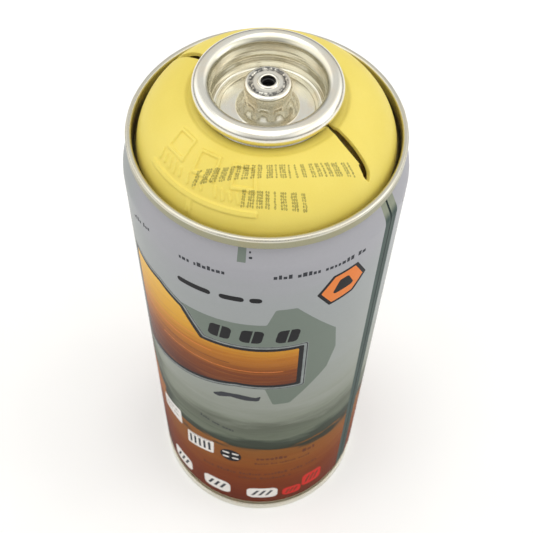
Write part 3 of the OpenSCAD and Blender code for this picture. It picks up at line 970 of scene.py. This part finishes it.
# ------------------------------------------------------------------ bottom
def build_bottom():
    """The lower seam and an inward dome, its arc set by its edge and crown."""
    edge_r, edge_z = end_inner(FOOT_R), 5.2
    rise = (CROWN - END_T / 2) - edge_z
    radius = (edge_r * edge_r + rise * rise) / (2 * rise)
    centre = (0, CROWN - END_T / 2 - radius)
    start = deg(math.acos(edge_r / radius))
    path = thin(rounded([
        (end_hook(FOOT_R), 0.95), (end_hook(FOOT_R), SEAM_H - END_T / 2, 0.24),
        (end_wall(FOOT_R), SEAM_H - END_T / 2, 0.24), (end_wall(FOOT_R), END_T / 2, 0.35),
        (end_inner(FOOT_R), END_T / 2, 0.35), (edge_r, edge_z, 1.6),
        (centre[0] + radius * math.cos(rad(start + 4)),
         centre[1] + radius * math.sin(rad(start + 4)))], 10)
        + arc(centre, radius, start + 6, 89.9, 30))
    one, other = offset(path, END_T / 2), offset(path, -END_T / 2)
    outline = one + [(0, one[-1][1]), (0, other[-1][1])] + list(reversed(other))
    verts, faces = revolved(outline, 256)
    make("bottom_dome_seamed", verts, faces, "can", [BASE_TIN], "bottom_dome",
         sharp=50)


# ------------------------------------------------------------------ valve cup
CUP_FLOOR = TOP + 5.5


def cup_form(r, z, a):
    """Rounded dimples round the pedestal, shallow crimp segments, and one small outward dent."""
    if r < 6.4 and CUP_FLOOR + 1.0 < z < CUP_FLOOR + 6.6:
        n = 10
        # angle from the nearest dimple's middle
        c = abs((a * n / (2 * math.pi) + 0.25) % 1 - 0.5) * 2 * math.pi / n
        across = math.exp(-(c * 5.4 / 0.95) ** 4)
        r -= 0.45 * across * math.exp(-((z - (CUP_FLOOR + 3.0)) / 1.05) ** 4)
    if 12.0 < r < 13.4 and TOP + 6.6 < z < TOP + 9.3:
        k = math.exp(-((z - (TOP + 8.2)) / 0.7) ** 2)
        r -= 0.07 * k * (0.5 + 0.5 * math.cos(9 * a)) ** 6
    if 11.6 < r < 12.6 and z < TOP + 7.4:
        c = math.atan2(math.sin(a - rad(100)), math.cos(a - rad(100)))
        r += 0.16 * math.exp(-(c * 12 / 0.6) ** 2 - ((z - TOP - 6.7) / 0.4) ** 2)
    return r, z


def build_cup():
    """From the curl down the crimped wall, over the floor and up the pedestal to its hole."""
    wall_in = CURL_R - CURL_T + CUP_T / 2
    pedestal_r = 5.10 - CUP_T / 2
    pedestal_top = TOP + 13.3 - CUP_T / 2
    hole_r = 1.57
    path = thin(arc((CURL_R, CURL_Z), CURL_T - CUP_T / 2, -62, 180, 44) + rounded([
        (wall_in, CURL_Z - 0.3), (wall_in, TOP + 10.9, 0.5),
        (12.30, TOP + 10.4, 0.4), (wall_in + 0.03, TOP + 9.9, 0.5), (12.45, TOP + 9.4, 0.6),
        (13.0, TOP + 8.3, 0.5), (12.35, TOP + 7.3, 0.6), (12.25, CUP_FLOOR + 0.1, 0.9),
        (11.0, CUP_FLOOR, 0.6), (10.2, CUP_FLOOR + 0.35, 0.6), (6.7, CUP_FLOOR + 0.35, 0.9),
        (5.6, CUP_FLOOR + 1.7, 1.2), (pedestal_r, CUP_FLOOR + 3.2, 1.0),
        (pedestal_r, pedestal_top, 0.75), (4.0, pedestal_top, 0.3),
        (3.7, pedestal_top - 0.33, 0.2), (3.4, pedestal_top, 0.3), (2.25, pedestal_top, 0.25),
        (2.0, pedestal_top + 0.42, 0.22), (hole_r + CUP_T / 2, pedestal_top + 0.42, 0.16),
        (hole_r + CUP_T / 2, pedestal_top - 0.14)], 6))
    verts, faces = revolved(sheet_outline(refine(path, 0.40), CUP_T), 240, cup_form)
    make("mounting_cup_crimped", verts, faces, "can", [CUP_TIN], "mounting_cup",
         sharp=60)


# ------------------------------------------------------------------ stem gasket and spring
def build_gasket():
    rim, low, high = extent("stem_gasket")
    bore, start = 1.25, 2.6
    outline = rounded([(start, low), (bore, low, 0.16), (bore, high, 0.22), (rim, high, 0.18),
                       (rim, low, 0.18), (start, low)], 6)[:-1]
    verts, faces = revolved(outline, 128)
    make("stem_gasket_ring", verts, faces, "can", [STEM_RUBBER], "stem_gasket")


def build_spring():
    """A coil with closed end turns."""
    wire, turns, coil_r, press = 0.5, 6, 1.85, 1.5
    low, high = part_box("valve_spring")
    bottom, top = low.z / MM + wire / 2, high.z / MM - wire / 2
    steps, sides = turns * 40, 12
    end, pitch = 1 / turns, wire * 1.04         # share and rise of each end turn

    def coil_z(u):
        if u < end:
            return bottom + pitch * u / end
        if u > 1 - end:
            return top - pitch * (1 - u) / end
        return bottom + pitch + (top - bottom - 2 * pitch) * (u - end) / (1 - 2 * end)

    verts, faces = [], []
    for i in range(steps + 1):
        u = i / steps
        a = 2 * math.pi * turns * u
        for j in range(sides):
            b = 2 * math.pi * j / sides
            r = coil_r + wire / 2 * math.cos(b)
            verts.append((r * math.cos(a), r * math.sin(a), coil_z(u) + wire / 2 * math.sin(b)))
    for i in range(steps):
        here, there = i * sides, (i + 1) * sides
        for j in range(sides):
            m = (j + 1) % sides
            faces.append([here + j, there + j, there + m, here + m])
    last = steps * sides
    faces += [list(range(sides)), list(range(last + sides - 1, last - 1, -1))]
    spring = make("valve_spring_coil", verts, faces, "can", [SPRING_STEEL], "valve_spring")
    low.z
    1 - press * MM / (high.z - low.z)
    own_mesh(spring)


build_dome()
build_bottom()
build_cup()
build_gasket()
build_spring()

# ------------------------------------------------------------------ colour ring: section
ARC_C, ARC_R, RING_T = (RING_R - 15.82, TOP - 5.51), 15.94, 1.0
top_path = thin(
    rounded([(14.9, TOP + 9.30), (14.97, TOP + 9.62, 0.1), (16.9, TOP + 9.62, 0.3),
             (17.3, TOP + 9.74, 0.15),
             (ARC_C[0] + ARC_R * math.cos(rad(74.3)), ARC_C[1] + ARC_R * math.sin(rad(74.3)))], 6)
    + arc(ARC_C, ARC_R, 73.6, 7.45, 64)
    + [(RING_R - 0.01, RING_FOOT + 0.12), (RING_R - 0.1, RING_FOOT)], 0.03)
low_path = thin(
    [(14.95, TOP + 8.95), (16.5, TOP + 8.62)] + arc(ARC_C, ARC_R - RING_T, 76, 7.8, 60)
    + [(RING_R - RING_T, RING_FOOT + 0.1), (RING_R - RING_T + 0.1, RING_FOOT)], 0.03)


def stations(path):
    """Lengths along a path, and its points as an array."""
    s = [0.0]
    for a, b in zip(path, path[1:]):
        s.append(s[-1] + distance(a, b))
    return np.array(s), np.array(path)


def at_station(s, line):
    lengths, points = line
    return np.interp(s, lengths, points[:, 0]), np.interp(s, lengths, points[:, 1])


TOP_LINE, LOW_LINE = stations(top_path), stations(low_path)
TOP_LENGTH, LOW_LENGTH = TOP_LINE[0][-1], LOW_LINE[0][-1]


def station_at_radius(r):
    """Station of the outer surface at plan radius r."""
    if r < 15.05:
        return r - 15.05
    lengths, points = TOP_LINE
    # only the part before the rim, where the radius grows
    before_rim = lengths < np.interp(RING_R - 0.02, points[:-2, 0], lengths[:-2])
    return float(np.interp(r, points[before_rim][:, 0], lengths[before_rim]))


RING_SCALE = 25.0                               # mm per radian in the unrolled plane
RING_WRAP = rad(-90 - 180)                      # the plane's ends meet at the back


def unroll(x, y):
    turn = (math.atan2(y, x) - RING_WRAP) % (2 * math.pi)
    return turn * RING_SCALE, station_at_radius(math.hypot(x, y))


# ------------------------------------------------------------------ colour ring: details in plan
def slit_outline(growth=0.0):
    """Closed plan outline of the right-hand slit: an arc, a wider head and a straight return."""
    cx, cy, radius = 26.63, -0.90, 16.10 + growth
    curve = [(cx + radius * math.cos(rad(a)), cy + radius * math.sin(rad(a)))
             for a in np.linspace(-155, -116.9, 26)]
    near, tail = (20.61, -14.21), (11.6, -6.84)     # ends of the straight line
    head = [(19.18, -15.57), (20.3, -16.85), (21.0, -17.02), (21.6, -16.95), (21.85, -16.4),
            (21.75, -15.4), (21.25, -14.72), near]
    hx, hy = 20.6, -15.6                            # the head grows away from here
    head = [(x + growth * (x - hx) / math.hypot(x - hx, y - hy),
             y + growth * (y - hy) / math.hypot(x - hx, y - hy)) for x, y in head]
    d = direction(tail, near)
    ox, oy = -d[1] * growth, d[0] * growth
    line = [(near[0] + (tail[0] - near[0]) * t + ox, near[1] + (tail[1] - near[1]) * t + oy)
            for t in np.linspace(0.06, 0.93, 22)]
    return curve + head + line


def ring_xy(azimuth, r):
    return r * math.cos(rad(azimuth)), r * math.sin(rad(azimuth))


def relief_strokes():
    """Raised strokes at the front left: (start, end, half width, height)."""
    strokes = []
    # a long rib
    for a in np.arange(-151.0, -95.4, 1.5):
        strokes.append((ring_xy(a, 26.95), ring_xy(a + 1.5, 26.95), 0.34, 0.48))
    # three leaning open frames
    for a, r in ((-143.0, 21.7), (-123.0, 21.9), (-101.5, 21.9)):
        c = [ring_xy(a - 7.2, r - 1.7), ring_xy(a + 5.4, r - 2.0),
             ring_xy(a + 6.6, r + 1.9), ring_xy(a - 5.2, r + 2.0)]
        strokes += [(c[i], c[(i + 1) % 4], 0.30, 0.42) for i in range(4)]
    # a row of short bars
    for k, a in enumerate((-149.5, -146.0, -142.3, -138.6, -135.0, -129.8, -126.0, -122.2,
                           -114.5, -110.8, -107.2, -103.4, -99.6)):
        h = (1.1, 0.8, 1.0)[k % 3]
        strokes.append((ring_xy(a, 25.2 - h * 0.55), ring_xy(a + 1.2, 25.2 + h * 0.55),
                        0.28, 0.34))
    # two short strokes outside the rib
    for a, b in ((-125.6, -124.2), (-124.2, -122.6)):
        strokes.append((ring_xy(a, 27.3), ring_xy((a + b) / 2, 28.35), 0.34, 0.26))
    return strokes


def relief(x, y):
    """Height of the relief over plan points."""
    h = np.zeros_like(x)
    for (x0, y0), (x1, y1), half, top in relief_strokes():
        dx, dy = x1 - x0, y1 - y0
        t = np.clip(((x - x0) * dx + (y - y0) * dy) / (dx * dx + dy * dy), 0, 1)
        d = np.hypot(x - x0 - t * dx, y - y0 - t * dy)
        k = np.clip((half + 0.14 - d) / 0.24, 0, 1)
        h = np.maximum(h, top * k * k * (3 - 2 * k))
    return h


# centre line of the inner batch strip
STRIP_X = np.array([-14.6, -13.5, -8.4, -3.9, 0.6, 5.1, 9.6, 14.3, 18.6])
STRIP_Y = np.array([-20.2, -20.15, -20.6, -20.5, -20.4, -20.1, -19.3, -18.05, -16.7])


def code_marks():
    """Dots (x, y, radius) of two batch strips of upright bars, one to three dots wide."""
    rnd = random.Random(7)
    dots, pitch, column_pitch = 6, 0.42, 0.44
    strips = ((-14.2, 17.6, lambda x: float(np.interp(x, STRIP_X, STRIP_Y))),
              (-4.6, 8.6, lambda x: -25.0 + 0.010 * (x - 1.5) ** 2))
    out = []
    for x, end, middle in strips:
        left, on = 2, True
        while x < end:
            if on:
                y = middle(x)
                a = math.atan2(y, x)
                for k in range(dots):
                    r = math.hypot(x, y) + (k - (dots - 1) / 2) * pitch
                    out.append((r * math.cos(a) + rnd.uniform(-0.05, 0.05),
                                r * math.sin(a) + rnd.uniform(-0.05, 0.05),
                                rnd.uniform(0.20, 0.27)))
            x += column_pitch
            left -= 1
            if left == 0:
                on = not on
                left = rnd.choice((1, 2, 3, 3)) if on else rnd.choice((1, 1, 2))
    return out


# ------------------------------------------------------------------ colour ring: mesh
def ring_plan():
    """The unrolled ring cut by its details: points, triangles and which ones are inked."""
    segments = 300
    width = 2 * math.pi * RING_SCALE
    ts = TOP_LINE[0]
    rows = np.concatenate([ts[:14], np.arange(ts[13], TOP_LENGTH - 0.9, 0.30), ts[-6:]])
    rows = [s for s in np.unique(np.round(rows, 4)) if 0.02 < s < TOP_LENGTH - 0.01]
    points, edges = plane_grid([width * j / segments for j in range(segments + 1)],
                               [0.0] + rows + [TOP_LENGTH])
    # finer points under the relief
    for a in np.arange(-154.5, -92.5, 0.40):
        for r in np.arange(19.0, 28.75, 0.16):
            points.append(unroll(*ring_xy(a, r)))
    areas, tags = [], []
    for x, y, r in code_marks():
        add_area(points, areas, [unroll(x + r * math.cos(t), y + r * math.sin(t))
                                 for t in np.arange(6) * math.pi / 3])
        tags.append("ink")
    # the slit, and the same turned half way round
    for sign in (1, -1):
        for growth, tag in ((0.16, "edge"), (0.0, "slit")):
            outline = [unroll(sign * x, sign * y) for x, y in slit_outline(growth)]
            add_area(points, areas, thin(outline))
            tags.append(tag)
    flat, all_tris, held_by = planar(points, edges, areas, 1e-4)
    plan = np.array(flat)
    tris, inked = [], []
    for t, ids in zip(all_tris, held_by):
        cx, cy = plan[t].mean(0)
        names = {tags[i] for i in ids}
        if 0 < cy < TOP_LENGTH and 0 < cx < width and "slit" not in names:
            tris.append(t)
            inked.append(int("ink" in names))
    # one index for the two ends of the plane
    start = {round(y, 4): i for i, (x, y) in enumerate(flat) if abs(x) < 1e-4}
    joined = {i: start[round(y, 4)] for i, (x, y) in enumerate(flat)
              if abs(x - width) < 1e-4 and round(y, 4) in start}
    tris = [[joined.get(i, i) for i in t] for t in tris]
    used = sorted({i for t in tris for i in t})
    new = {i: k for k, i in enumerate(used)}
    return plan[used], [[new[i] for i in t] for t in tris], inked


def tri_edges(t):
    return (t[0], t[1]), (t[1], t[2]), (t[2], t[0])


def build_ring():
    plan, tris, inked = ring_plan()
    angle = plan[:, 0] / RING_SCALE + RING_WRAP
    s = np.clip(plan[:, 1], 0, TOP_LENGTH)
    r_top, z_top = at_station(s, TOP_LINE)
    r_low, z_low = at_station(s / TOP_LENGTH * LOW_LENGTH, LOW_LINE)
    # outward normal of the section
    ra, za = at_station(np.clip(s - 0.05, 0, TOP_LENGTH), TOP_LINE)
    rb, zb = at_station(np.clip(s + 0.05, 0, TOP_LENGTH), TOP_LINE)
    dr, dz = rb - ra, zb - za
    length = np.hypot(dr, dz)
    nr, nz = -dz / length, dr / length
    h = relief(r_top * np.cos(angle), r_top * np.sin(angle)) * (nz > 0.05)
    # edges of the slits eased down a little
    uses = {}
    for t in tris:
        for a, b in tri_edges(t):
            key = (min(a, b), max(a, b))
            uses[key] = uses.get(key, 0) + 1
    on_slit = np.zeros(len(plan), bool)
    far = TOP_LENGTH - 0.03
    for (a, b), count in uses.items():
        on_rim = (s[a] < 0.03 and s[b] < 0.03) or (s[a] > far and s[b] > far)
        if count == 1 and not on_rim:
            on_slit[a] = on_slit[b] = True
    h = np.where(on_slit, h - 0.10, h)
    r_top, z_top = r_top + nr * h, z_top + nz * h
    n = len(plan)
    verts = []
    for rs, zs in ((r_top, z_top), (r_low, z_low)):
        verts += [(r * math.cos(t), r * math.sin(t), z) for r, z, t in zip(rs, zs, angle)]
    faces = [list(t) for t in tris] + [[t[2] + n, t[1] + n, t[0] + n] for t in tris]
    # walls between the two surfaces
    for t in tris:
        for a, b in tri_edges(t):
            if uses[(min(a, b), max(a, b))] == 1:
                faces.append([b, a, a + n, b + n])
    index = inked + [0] * (len(faces) - len(inked))
    make("colour_ring_moulded", verts, faces, "ring", [RING_PLASTIC, RING_INK], "colour_ring",
         index, sharp=42)


build_ring()

# ------------------------------------------------------------------ pieces kept from the CAD
for name, mat in (("valve_housing", NYLON), ("spring_cup", ACETAL), ("dip_tube", TUBE_PLASTIC),
                  ("cup_gasket", CUP_RUBBER), ("top_seam_compound", COMPOUND),
                  ("bottom_seam_compound", COMPOUND), ("mixing_ball_a", BALL_STEEL),
                  ("mixing_ball_b", BALL_STEEL)):
    slots = cad_nodes[name].data.materials
    if not slots:
        slots.append(mat)
    for i in range(len(slots)):
        slots[i] = mat

# ------------------------------------------------------------------ floor, light, camera (metres)
scene = bpy.context.scene
scene.view_settings.view_transform = "Standard"
scene.view_settings.look = "None"
scene.view_settings.exposure = 0.0


def build_floor(half=1.6, cells=8):
    me = bpy.data.meshes.new("floor")
    n = cells + 1
    ticks = [-half + 2 * half * i / cells for i in range(n)]
    verts = [(x, y, 0) for y in ticks for x in ticks]
    faces = [[j * n + i, j * n + i + 1, (j + 1) * n + i + 1, (j + 1) * n + i]
             for j in range(cells) for i in range(cells)]
    me.from_pydata(verts, [], faces)
    floor = bpy.data.objects.new("floor", me)
    scene.collection.objects.link(floor)
    g = Material("floor_pale")
    patches = g.remap(g.noise(scale=0.02, detail=2, rough=0.5), over=(0.3, 0.7))
    g.set(Base_Color=g.mix(patches, (0.86, 0.86, 0.86), (0.89, 0.89, 0.89)), Roughness=0.9,
          Specular_IOR_Level=0.1, Emission_Color=(1.0, 1.0, 1.0), Emission_Strength=0.10)
    me.materials.append(g.material)


# (share of the way from straight down to straight up, brightness)
SKY = [(0.0, (0.30, 0.30, 0.29))] + [(at, (v, v, v * 0.98)) for at, v in (
    (0.50, 0.30), (0.57, 0.27), (0.64, 0.50), (0.74, 0.74), (0.86, 0.76))] + [
    (1.0, (0.80, 0.80, 0.78))]


def build_world():
    """A graded sky with two broad bright sides, left and right; plain pale to the camera."""
    world = bpy.data.worlds.new("studio")
    scene.world = world
    w = Nodes(world)
    x, _, z = w.node("SeparateXYZ", {0: w.node("TexCoord").outputs["Generated"]}).outputs
    sky = w.ramp(w.remap(z, over=(-1, 1)), SKY)
    sideways = w.node("Math", {0: x}, operation="ABSOLUTE").outputs[0]
    sideways = w.remap(sideways, over=(0.30, 0.80), smooth=True)
    raised = w.remap(z, over=(0.02, 0.30), to=(0.0, 0.80), smooth=True)
    sides = w.node("Math", {0: sideways, 1: raised}, operation="MULTIPLY").outputs[0]
    lit = w.mix(sides, sky, (1.0, 0.98, 0.93), "ADD")
    seen = w.node("LightPath").outputs["Is Camera Ray"]
    colour = w.mix(seen, lit, (0.93, 0.93, 0.92))
    background = w.node("Background", {0: colour, 1: 1.0})
    w.node("OutputWorld", {0: background.outputs[0]})


def add_light(name, place, target, size, power, colour):
    light = bpy.data.lights.new(name, "AREA")
    light.shape = "RECTANGLE"
    light.size, light.size_y = size
    light.energy, light.color = power, colour
    ob = bpy.data.objects.new(name, light)
    scene.collection.objects.link(ob)
    ob.location = place
    ob.rotation_euler = (Vector(target) - Vector(place)).to_track_quat("-Z", "Y").to_euler()


def build_camera():
    """Looks down at the can's axis from the front."""
    elevation, distance_off, roll = rad(57.578), 0.262048, rad(1.483)
    target = Vector((0, 0, 0.088734))
    cam = bpy.data.cameras.new("camera")
    ob = bpy.data.objects.new("camera", cam)
    scene.collection.objects.link(ob)
    back = Vector((0, -math.cos(elevation), math.sin(elevation)))
    level, up = Vector((1, 0, 0)), Vector((0, math.sin(elevation), math.cos(elevation)))
    x_axis = math.cos(roll) * level + math.sin(roll) * up
    y_axis = -math.sin(roll) * level + math.cos(roll) * up
    place = target + back * distance_off
    rows = [tuple(column) for column in zip(x_axis, y_axis, back, place)]
    ob.matrix_world = Matrix(rows + [(0, 0, 0, 1)])
    cam.sensor_width = 36
    cam.lens = 62.72665666
    cam.shift_x = 0.00683864916
    cam.shift_y = 0.0432682927
    cam.clip_start, cam.clip_end = 0.005, 20
    cam.dof.use_dof = True
    cam.dof.focus_distance = 0.195
    cam.dof.aperture_fstop = 80
    scene.camera = ob


build_floor()
build_world()
add_light("key", place=(-0.06, -0.12, 0.98), target=(0, 0, 0.12), size=(0.95, 0.80), power=2.2,
          colour=(1.0, 0.98, 0.94))
add_light("fill_right", place=(0.60, -0.05, 0.35), target=(0, 0, 0.10), size=(0.30, 0.5),
          power=0.4, colour=(0.98, 0.99, 1.0))
build_camera()
